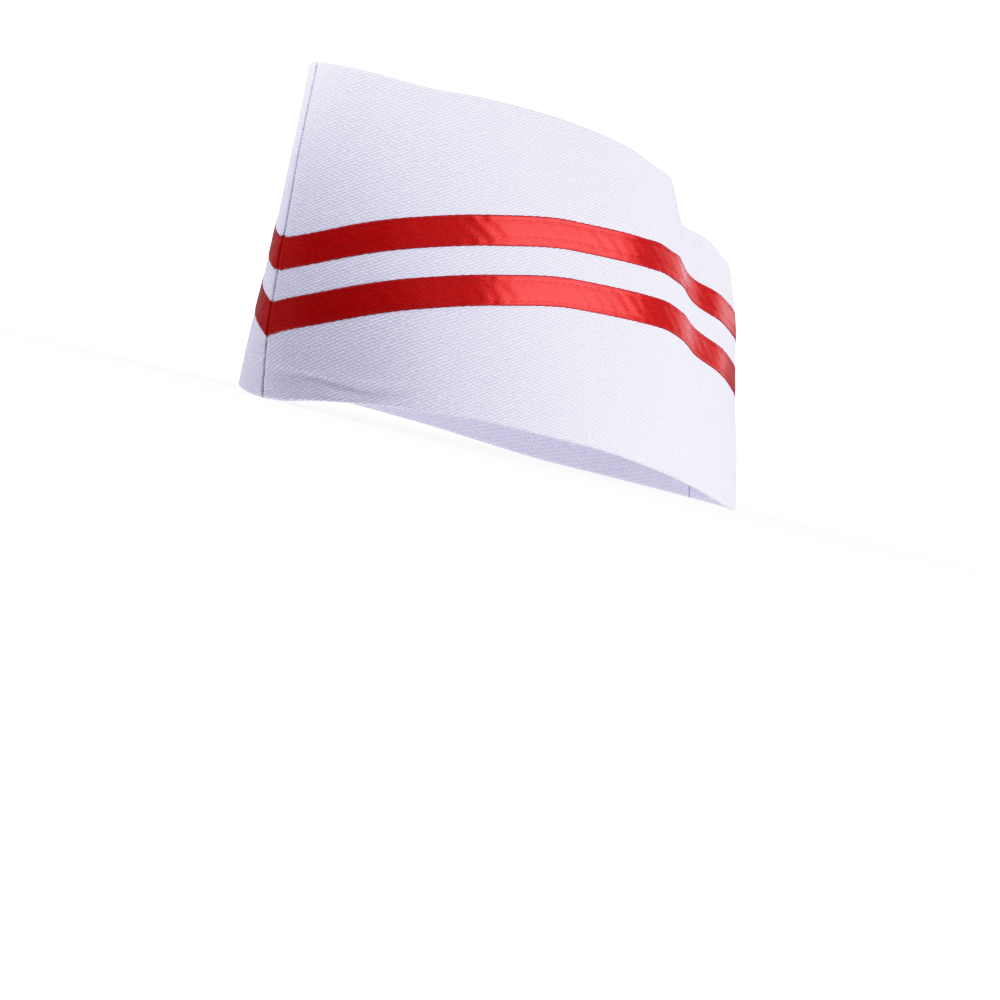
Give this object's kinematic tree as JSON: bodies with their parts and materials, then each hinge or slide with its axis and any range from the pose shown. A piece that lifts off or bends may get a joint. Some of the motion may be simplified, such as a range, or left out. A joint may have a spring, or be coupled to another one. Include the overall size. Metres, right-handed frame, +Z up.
{
  "type": "boat chef cap",
  "caption": "Boat-shaped chef's cap of white twill: two side panels seamed at front and back, a folded crown between them, and red satin ribbons sewn round each panel.",
  "frame": {"origin": "on the surface that the cap rests on, under the middle of its whole length and width", "axes": "+Y from the front seam towards the back seam, +X to the wearer's left, +Z up"},
  "size_m": [0.1553, 0.2122, 0.1176],
  "materials": {
    "twill": "matt white cotton-polyester twill with fine diagonal ribs",
    "satin_ribbon": "red satin ribbon with a soft sheen"
  },
  "bodies": {
    "root": {"side_panel_left": "twill", "side_panel_right": "twill", "crown": "twill", "ribbon_lower_left": "satin_ribbon", "ribbon_upper_left": "satin_ribbon", "ribbon_lower_right": "satin_ribbon", "ribbon_upper_right": "satin_ribbon"}
  },
  "joints": []
}
